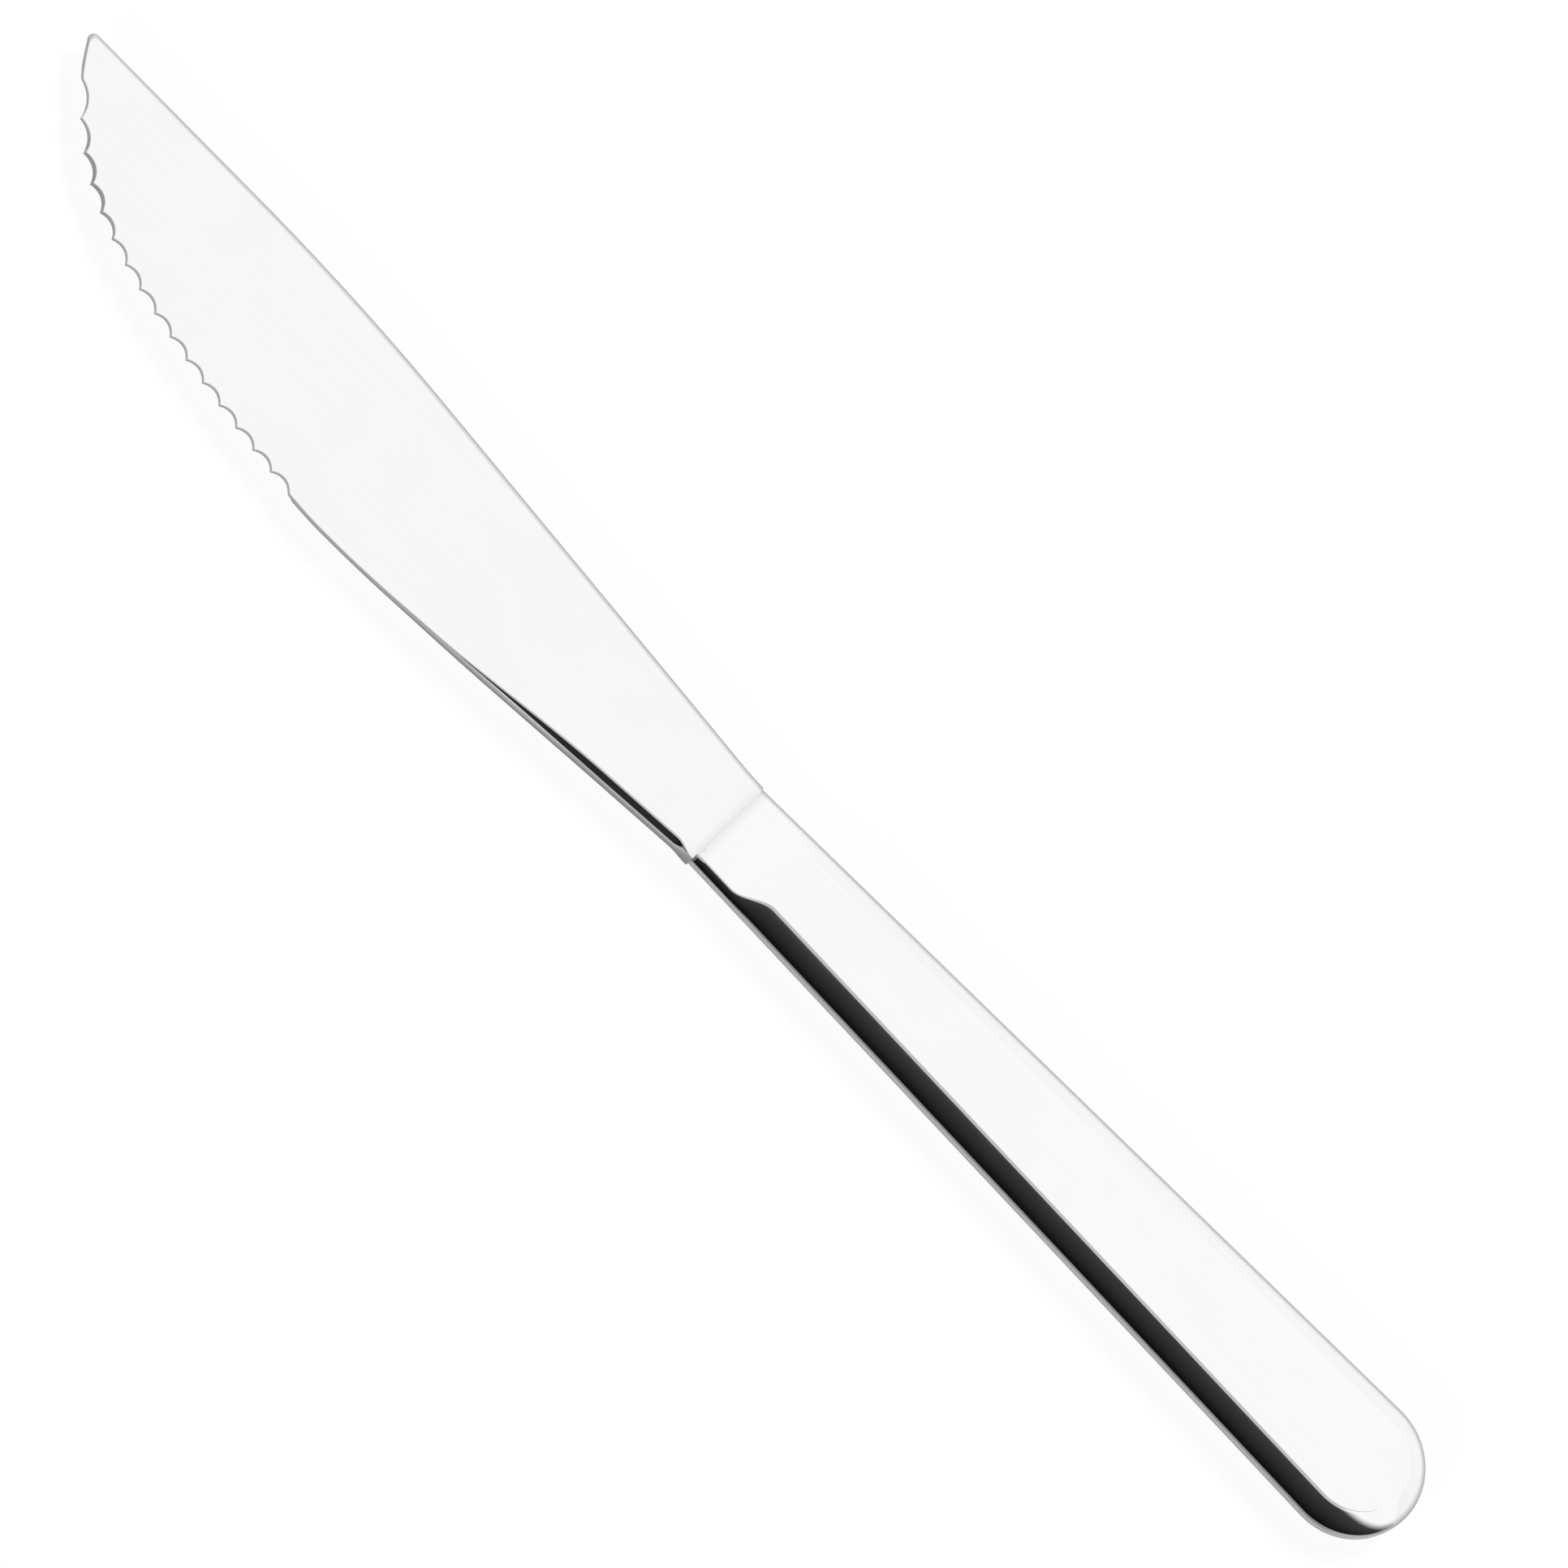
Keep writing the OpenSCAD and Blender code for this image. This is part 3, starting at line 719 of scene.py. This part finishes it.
def handle_half(k):
    """Points, faces and painted shade marks of the front half of the handle.

    It has its outside, its inside and the rims between.
    """
    form = HandleForm(k)
    stations = form.half_outline()
    x = stations[:, 0]
    rim = k.seam_t / 2
    outer = form.side_profile(x, rim + EASE_HOLD * k.rim_round)
    flat_in, up = k.rim_round * np.array([1, 0]), k.rim_round * np.array([0, 1])
    edge = np.array([0, rim])
    lip = np.concatenate([edge + EASE_HOLD * flat_in[None], parabola(edge + flat_in, edge, edge + up)])
    outer = np.concatenate([np.broadcast_to(lip, (len(x), *lip.shape)), outer], axis=1)
    inner = form.inner_profile(x, outer.shape[1])
    face_points = 6
    outside = across(stations, outer, face_points)
    inside = across(stations, inner, face_points)
    rows, columns = outside.shape[:2]
    loops = np.concatenate([outside, inside[:, ::-1]], axis=1)
    painted_shade = side_shade_marks(outer, k)
    painted_shade[:, -1] = 0
    flat = np.zeros((rows, face_points + columns))
    painted_shade = np.concatenate([painted_shade, flat[:, :face_points], painted_shade[:, ::-1], flat[:, face_points:]], axis=1)
    j = np.arange(columns - 1)
    mouth = np.stack([j, j + 1, 2 * columns - 2 - j, 2 * columns - 1 - j], axis=-1)
    faces = quads(rows, 2 * columns).tolist() + mouth.tolist()
    return loops, faces, painted_shade


def seam_loops(k):
    """Closed sections of the seam's filler metal, carried along the handle's whole outline."""
    stations = HandleForm(k).half_outline()
    other = stations[-2::-1] * [1, -1, 1, -1]
    stations = np.concatenate([stations, other])
    half = k.seam_t / 2
    profile = np.array([[k.seam_sink, half], [k.seam_sink, -half], [k.sheet_t, -half], [k.sheet_t, half]])
    out = stations[:, None, :2] - stations[:, None, 2:] * profile[:, 0, None]
    height = np.broadcast_to(profile[:, 1, None], (len(stations), 4, 1))
    corners = np.concatenate([out, height], axis=-1)
    return eased_loop(corners, FINE, [2, 0, 0, 0])


def solder_ring(k):
    """Rings of the joint's solder: the neck's section at both faces of the joint, outside and inside.

    Also returns the rings' painted shade marks.
    """
    form = HandleForm(k)
    profile = form.side_profile([k.blade_l], 0.0)[0]
    side = np.column_stack([k.neck_w / 2 - profile[:, 0], profile[:, 1], side_shade_marks(profile, k)])
    top = np.concatenate([side, side[::-1] * [-1, 1, 1]])
    whole = np.concatenate([top, top[::-1][1:-1] * [1, -1, 1]])
    section, painted_shade = whole[:, :2], whole[:, 2]
    inside = section * (1 - 2 * k.solder_depth / np.array([k.neck_w, k.neck_t]))
    half = k.solder_t / 2
    rings = []
    for loop, reach in ((section, (-half, 0, half)), (inside, (half, -half))):
        for offset in reach:
            x = np.full(len(loop), k.blade_l + offset)
            rings.append(np.column_stack([x, loop]))
    return np.stack(rings), np.tile(painted_shade, len(rings))


def add_node(tree, kind, inputs=(), **settings):
    """Outputs of a new node with its settings and inputs.

    The inputs are in the node's own order, or by name or number. Each is a value or the output that feeds
    it.
    """
    made = tree.nodes.new("ShaderNode" + kind)
    for name, value in settings.items():
        setattr(made, name, value)
    pairs = inputs.items() if isinstance(inputs, dict) else enumerate(inputs)
    for name, value in pairs:
        if isinstance(value, bpy.types.NodeSocket):
            tree.links.new(value, made.inputs[name])
        else:
            made.inputs[name].default_value = value
    return made.outputs


def new_material(name):
    """A new node material, the function that adds a node to it, and the place of its points."""
    material = bpy.data.materials.new(name)
    material.use_nodes = True
    material.node_tree.nodes.clear()
    add = partial(add_node, material.node_tree)
    return material, add, add("TexCoord")["Object"]


def rgba(colour, level=1.0):
    """A colour with alpha, at a part of its brightness."""
    return (*(c * level for c in colour), 1.0)


def polished_steel(name, colour, ground):
    """Stainless steel, buffed to a mirror along the knife.

    It mirrors the room almost sharply. Buffing leaves fine lines along the knife, handling leaves faint
    smudges, broken edges get painted shade, the groove of the joint is hazier with painted shade, and the
    scallops keep the wheel's lines.
    """
    line_w, line_l, smudge, grind = 0.35 * MM, 30 * MM, 14 * MM, 0.3 * MM
    line_range, smear_range, gloss_range = (0.3, 0.7), (0.42, 0.72), (0.35, 0.75)
    line_tone, wheel_tone = 0.985, 0.8
    # The groove's share darkens colour as painted shade over its hazier polish
    smear_share, groove_shade_share = 0.025, 0.16
    least_rough, smear_rough, haze_rough, wheel_rough = 0.025, 0.05, 0.2, 0.22
    material, add, place = new_material(name)
    # Buffing lines are finer than this on the real steel, and are drawn as coarse as they need to show
    stretch = add("Mapping", {"Vector": place, "Scale": (1 / line_l, 1 / line_w, 1 / line_w)})
    lines = add("TexNoise", {"Vector": stretch[0], "Scale": 1.0, "Detail": 3.0, "Roughness": 0.6})[0]
    smears = add("TexNoise", {
        "Vector": place, "Scale": 1 / smudge, "Detail": 4.0, "Roughness": 0.55, "Distortion": 0.6,
    })[0]
    wheel = add("TexNoise", {"Vector": place, "Scale": 1 / grind, "Detail": 2.0})[0]
    marks = ("haze", "ground", "painted_shade")
    hazy_and_shaded, hollow, painted_shade = (add("Attribute", attribute_name=mark)["Fac"] for mark in marks)
    lined = add("MapRange", (lines, *line_range))[0]
    smeared = add("MapRange", (smears, *smear_range, 0.0, smear_share))[0]
    # Painted shade in the joint's groove, darkening it towards the ground steel's grey; its roughness rises
    # too
    haze_and_shade = add("Math", (hazy_and_shaded, groove_shade_share), operation="MULTIPLY")[0]
    wheeled = add("Mix", {0: wheel, 6: rgba(ground, wheel_tone), 7: rgba(ground)}, data_type="RGBA")[2]
    # Each layer lies over those before it by its share
    layers = (
        (lined, rgba(colour)),
        (smeared, rgba(ground)),
        (haze_and_shade, rgba(ground)),
        # Painted shade darkens the edges towards a part of the ground steel's grey
        (painted_shade, rgba(ground, PAINTED_SHADE_TONE)),
        (hollow, wheeled),
    )
    base = rgba(colour, line_tone)
    for part, layer in layers:
        base = add("Mix", {0: part, 6: base, 7: layer}, data_type="RGBA")[2]
    rough = add("MapRange", (smears, *gloss_range, least_rough, smear_rough))[0]
    for part, more in ((hazy_and_shaded, haze_rough), (hollow, wheel_rough)):
        rough = add("Math", (part, more, rough), operation="MULTIPLY_ADD")[0]
    bump = add("Bump", {"Strength": 0.15, "Distance": 0.0015 * MM, "Height": lines})[0]
    shader = add("BsdfPrincipled", {
        "Base Color": base, "Metallic": 1.0, "Roughness": rough, "Normal": bump,
    })[0]
    add("OutputMaterial", {"Surface": shader})
    return material


def filler(name, colour, ground):
    """Silver solder, ground flush with the steel and buffed over.

    It is softer than steel, so it comes out a little greyer and less sharp, with tiny pits, and it gets
    the same painted shade as the steel beside it on the sides.
    """
    pit, patch, patch_tone = 0.12 * MM, 3 * MM, 0.92
    material, add, place = new_material(name)
    pits = add("TexNoise", {"Vector": place, "Scale": 1 / pit, "Detail": 3.0})[0]
    patches = add("TexNoise", {"Vector": place, "Scale": 1 / patch, "Detail": 2.0})[0]
    painted_shade = add("Attribute", attribute_name="painted_shade")["Fac"]
    base = rgba(colour, patch_tone)
    # The sides get painted shade towards the ground steel's grey
    for part, layer in ((patches, rgba(colour)), (painted_shade, rgba(ground, PAINTED_SHADE_TONE))):
        base = add("Mix", {0: part, 6: base, 7: layer}, data_type="RGBA")[2]
    rough = add("MapRange", {"Value": pits, "To Min": 0.14, "To Max": 0.3})[0]
    bump = add("Bump", {"Strength": 0.2, "Distance": 0.004 * MM, "Height": pits})[0]
    shader = add("BsdfPrincipled", {
        "Base Color": base, "Metallic": 1.0, "Roughness": rough, "Normal": bump,
    })[0]
    add("OutputMaterial", {"Surface": shader})
    return material


def cast_cement(name, colour):
    """Resin cement, poured into the handle: matt, pale and mottled, with fine grains and small voids."""
    grain, void, void_range, grain_tone, grain_rise = 0.4 * MM, 2.5 * MM, (0.05, 0.2), 0.7, 0.3
    material, add, place = new_material(name)
    grains = add("TexNoise", {"Vector": place, "Scale": 1 / grain, "Detail": 5.0})[0]
    voids = add("TexVoronoi", {"Vector": place, "Scale": 1 / void})[0]
    depth = add("MapRange", (voids, *void_range))[0]
    base = add("Mix", {0: grains, 6: rgba(colour, grain_tone), 7: rgba(colour)}, data_type="RGBA")[2]
    height = add("Math", (grains, grain_rise, depth), operation="MULTIPLY_ADD")[0]
    bump = add("Bump", {"Strength": 0.6, "Distance": 0.1 * MM, "Height": height})[0]
    shader = add("BsdfPrincipled", {"Base Color": base, "Roughness": 0.85, "Normal": bump})[0]
    add("OutputMaterial", {"Surface": shader})
    return material


def rolled_steel(name, colour):
    """Mild steel bar, hot rolled: dark scale with paler rubbed patches, drawn out along the bar."""
    patch_l, patch_w, scale_tone = 9 * MM, 2 * MM, 0.45
    material, add, place = new_material(name)
    stretch = add("Mapping", {"Vector": place, "Scale": (1 / patch_l, 1 / patch_w, 1 / patch_w)})
    scale = add("TexNoise", {"Vector": stretch[0], "Scale": 1.0, "Detail": 6.0})[0]
    base = add("Mix", {0: scale, 6: rgba(colour, scale_tone), 7: rgba(colour)}, data_type="RGBA")[2]
    rough = add("MapRange", {"Value": scale, "To Min": 0.6, "To Max": 0.35})[0]
    shader = add("BsdfPrincipled", {"Base Color": base, "Metallic": 1.0, "Roughness": rough})[0]
    add("OutputMaterial", {"Surface": shader})
    return material


def white_floor(name, colour):
    """Matt white paper, which shows as white to the camera and keeps a faint shadow.

    Metal mirrors it mostly as paper near the knife and as white further out.
    """
    white_share, near_share, near, far = 0.93, 0.35, 125 * MM, 200 * MM
    material, add, place = new_material(name)
    away = add("VectorMath", (place,), operation="LENGTH")["Value"]
    mirrored = add("MapRange", (away, near, far, near_share, 1.0))[0]
    path = add("LightPath")
    shown = 0.0
    parts = {"Is Camera Ray": white_share, "Is Transmission Ray": white_share, "Is Glossy Ray": mirrored}
    for ray, part in parts.items():
        shown = add("Math", (path[ray], part, shown), operation="MULTIPLY_ADD")[0]
    paper = add("BsdfDiffuse", {"Color": rgba(colour)})[0]
    white = add("Emission", {"Color": (1, 1, 1, 1), "Strength": 1.0})[0]
    mixed = add("MixShader", (shown, paper, white))[0]
    add("OutputMaterial", {"Surface": mixed})
    return material


def set_ramp(node, stops):
    """Sets a colour ramp's stops, each a place and a grey level."""
    elements = node.color_ramp.elements
    while len(elements) < len(stops):
        elements.new(1.0)
    for element, (place, level) in zip(elements, stops):
        element.position = place
        element.color = (level, level, level, 1.0)


def studio_world(s):
    """White walls round the knife, with a long dark strip raised above the floor on the edge's side.

    Its top and its foot are straight, so they are planes in the directions: the rise of a direction plus a
    part of how far it heads away from that side. The walls are greyer near the floor, and from the roof
    over to the edge's side, but not low behind the butt.
    """
    world = bpy.data.worlds.new("studio")
    world.use_nodes = True
    world.node_tree.nodes.clear()
    add = partial(add_node, world.node_tree)
    direction = add("TexCoord")["Generated"]
    tilts = ((0, STRIP_TOP_TILT, 1), (0, STRIP_FOOT_TILT, 1))
    over, under = (add("VectorMath", (direction, tilt), operation="DOT_PRODUCT")["Value"] for tilt in tilts)
    place = add("MapRange", (over, *STRIP_RANGE))[0]
    strip = add("ValToRGB", (place,))[0]
    set_ramp(strip.node, STRIP_TONES)
    below = add("MapRange", (under, *STRIP_FOOT, 1.0, 0.0))[0]
    tone = add("Math", (strip, below), operation="MAXIMUM")[0]
    x, y, z = add("SeparateXYZ", (direction,))
    low = add("MapRange", (z, *LOW_WALL_RANGE, s.low_wall, 1.0))[0]
    roof = add("MapRange", (y, *ROOF_RANGE, s.roof, 1.0))[0]
    grey = add("Math", (low, roof), operation="MINIMUM")[0]
    butt_end = add("MapRange", (x, *BUTT_RANGE))[0]
    not_high = add("MapRange", (z, *HIGH_RANGE, 1.0, 0.0))[0]
    plain = add("Math", (butt_end, not_high), operation="MULTIPLY")[0]
    wall = add("Mix", {0: plain, 2: grey, 3: 1.0})[0]
    graded = add("Math", (tone, wall), operation="MINIMUM")[0]
    shown = add("Math", (graded, s.sky), operation="MULTIPLY")[0]
    path = add("LightPath")
    rays = (path["Is Glossy Ray"], path["Is Transmission Ray"])
    mirrored = add("Math", rays, operation="MAXIMUM")[0]
    lit = add("Mix", {0: mirrored, 2: s.fill, 3: shown})[0]
    seen = add("Mix", {0: path["Is Camera Ray"], 2: lit, 3: 1.0})[0]
    light = add("Background", {"Color": (1, 1, 1, 1), "Strength": seen})[0]
    add("OutputWorld", {"Surface": light})
    return world


def add_lamp(name, watts, size, place):
    """A soft square lamp that points at the knife and isn't mirrored in it."""
    data = bpy.data.lights.new(name, "AREA")
    data.energy = watts
    data.size = size
    lamp = bpy.data.objects.new(name, data)
    lamp.location = place
    lamp.rotation_euler = (-Vector(place)).to_track_quat("-Z", "Y").to_euler()
    lamp.visible_glossy = False
    lamp.visible_camera = False
    bpy.context.scene.collection.objects.link(lamp)


def add_camera(s):
    """A camera on the edge's side, turned so that the knife runs from corner to corner of the image."""
    back = Vector((0, -math.cos(s.elevation), math.sin(s.elevation)))
    level = Vector((1, 0, 0))
    steep = back.cross(level)
    right = math.cos(s.roll) * level + math.sin(s.roll) * steep
    up = math.cos(s.roll) * steep - math.sin(s.roll) * level
    pixel = MM / s.pixels_per_mm
    middle = s.photo_size / 2
    aim = right * (middle - s.origin_px[0]) * pixel + up * (s.origin_px[1] - middle) * pixel
    data = bpy.data.cameras.new("camera")
    data.lens = data.sensor_width * s.distance / (s.photo_size * pixel)
    camera = bpy.data.objects.new("camera", data)
    camera.matrix_world = Matrix.Translation(aim + back * s.distance) @ Matrix(
        (right, up, back)
    ).transposed().to_4x4()
    bpy.context.scene.collection.objects.link(camera)
    bpy.context.scene.camera = camera


class TABLEKNIFE_OT_blade(bpy.types.Operator):
    """Makes the scalloped blade with its tang"""

    bl_idname = "tableknife.blade"
    bl_label = "Blade"

    def execute(self, context):
        k, colours = context.scene.knife_sizes, context.scene.knife_colours
        loops, ground, painted_shade = blade_loops(k)
        tang = tang_loops(k)
        points = np.concatenate([grooved(loops, k).reshape(-1, 3), tang.reshape(-1, 3)])
        shift = loops.shape[0] * loops.shape[1]
        faces = tube(loops) + [[shift + i for i in face] for face in tube(tang)]
        quiet = np.zeros(tang.shape[0] * tang.shape[1])
        marks = {"haze": haze(loops, k), "ground": ground, "painted_shade": painted_shade}
        marks = {mark: np.append(values, quiet) for mark, values in marks.items()}
        steel = polished_steel("mirror_buffed_stainless_blade", colours.blade_steel, colours.ground_steel_and_shade)
        make_piece("scalloped_blade", points, faces, marks, ["blade"], steel)
        return {"FINISHED"}


class TABLEKNIFE_OT_handle(bpy.types.Operator):
    """Makes the two pressed halves of the handle"""

    bl_idname = "tableknife.handle"
    bl_label = "Handle halves"

    def execute(self, context):
        k, colours = context.scene.knife_sizes, context.scene.knife_colours
        points, faces, painted_shade = handle_half(k)
        steel = polished_steel("mirror_buffed_stainless_handle", colours.handle_steel, colours.ground_steel_and_shade)
        marks = {"haze": haze(points, k), "painted_shade": painted_shade}
        halves = (
            ("front_handle_half", "handle_front_shell", 1),
            ("back_handle_half", "handle_back_shell", -1),
        )
        for name, node, side in halves:
            turned = grooved(points, k) * [1, 1, side]
            make_piece(name, turned, faces, marks, [node], steel)
        return {"FINISHED"}


class TABLEKNIFE_OT_joints(bpy.types.Operator):
    """Makes the filler metal of the handle's side seam and of the joint with the blade"""

    bl_idname = "tableknife.joints"
    bl_label = "Seam and joint"

    def execute(self, context):
        k, colours = context.scene.knife_sizes, context.scene.knife_colours
        metal = filler("ground_flush_silver_solder", colours.filler_metal, colours.ground_steel_and_shade)
        seam = seam_loops(k)
        make_piece("side_seam", grooved(seam, k), tube(seam), {}, ["handle_seam"], metal)
        ring, painted_shade = solder_ring(k)
        faces = quads(*ring.shape[:2], wrap_rows=True).tolist()
        marks = {"painted_shade": painted_shade}
        make_piece("joint_solder", grooved(ring, k), faces, marks, ["mouth_solder"], metal)
        return {"FINISHED"}


class TABLEKNIFE_OT_filling(bpy.types.Operator):
    """Gives the cement and the balance weight inside the handle their finish"""

    bl_idname = "tableknife.filling"
    bl_label = "Filling"

    def execute(self, context):
        colours = context.scene.knife_colours
        finishes = {
            "handle_cement": cast_cement("cast_resin_cement", colours.cement),
            "balance_weight": rolled_steel("hot_rolled_mild_steel", colours.weight_steel),
        }
        for node, material in finishes.items():
            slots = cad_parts[node].data.materials
            slots.clear()
            slots.append(material)
        return {"FINISHED"}


class TABLEKNIFE_OT_stage(bpy.types.Operator):
    """Makes the floor, the studio and the camera"""

    bl_idname = "tableknife.stage"
    bl_label = "Stage"

    def execute(self, context):
        scene, s = context.scene, context.scene.knife_stage
        half = s.floor_size / 2
        mesh = bpy.data.meshes.new("floor")
        corners = [(-half, -half, 0), (half, -half, 0), (half, half, 0), (-half, half, 0)]
        mesh.from_pydata(corners, [], [(0, 1, 2, 3)])
        mesh.materials.append(white_floor("matt_white_paper", scene.knife_colours.paper))
        floor = bpy.data.objects.new("floor", mesh)
        scene.collection.objects.link(floor)
        scene.world = studio_world(s)
        add_lamp("key_lamp", s.key_power, LAMP_SIZE, KEY_PLACE)
        add_lamp("low_lamp", s.low_power, LAMP_SIZE, LOW_PLACE)
        add_camera(s)
        scene.view_settings.view_transform = "Standard"
        return {"FINISHED"}


OPERATORS = (
    TABLEKNIFE_OT_stage,
    TABLEKNIFE_OT_blade,
    TABLEKNIFE_OT_handle,
    TABLEKNIFE_OT_joints,
    TABLEKNIFE_OT_filling,
)
GROUPS = {"knife_sizes": KnifeSizes, "knife_colours": KnifeColours, "knife_stage": KnifeStage}


class TABLEKNIFE_PT_pieces(bpy.types.Panel):
    """Lists the knife's pieces"""

    bl_idname = "TABLEKNIFE_PT_pieces"
    bl_label = "Table knife"
    bl_space_type = "VIEW_3D"
    bl_region_type = "UI"
    bl_category = "Knife"

    def draw(self, context):
        for operator in OPERATORS:
            self.layout.operator(operator.bl_idname)
        for name, group in GROUPS.items():
            box = self.layout.box()
            for prop in group.__annotations__:
                box.prop(getattr(context.scene, name), prop)


def register():
    for made in (*GROUPS.values(), *OPERATORS, TABLEKNIFE_PT_pieces):
        bpy.utils.register_class(made)
    for name, group in GROUPS.items():
        setattr(bpy.types.Scene, name, PointerProperty(type=group))


def unregister():
    for name in GROUPS:
        delattr(bpy.types.Scene, name)
    for made in (TABLEKNIFE_PT_pieces, *reversed(OPERATORS), *reversed(GROUPS.values())):
        bpy.utils.unregister_class(made)


def main():
    register()
    bpy.ops.tableknife.stage()
    bpy.ops.tableknife.blade()
    bpy.ops.tableknife.handle()
    bpy.ops.tableknife.joints()
    bpy.ops.tableknife.filling()


if __name__ == "__main__":
    main()
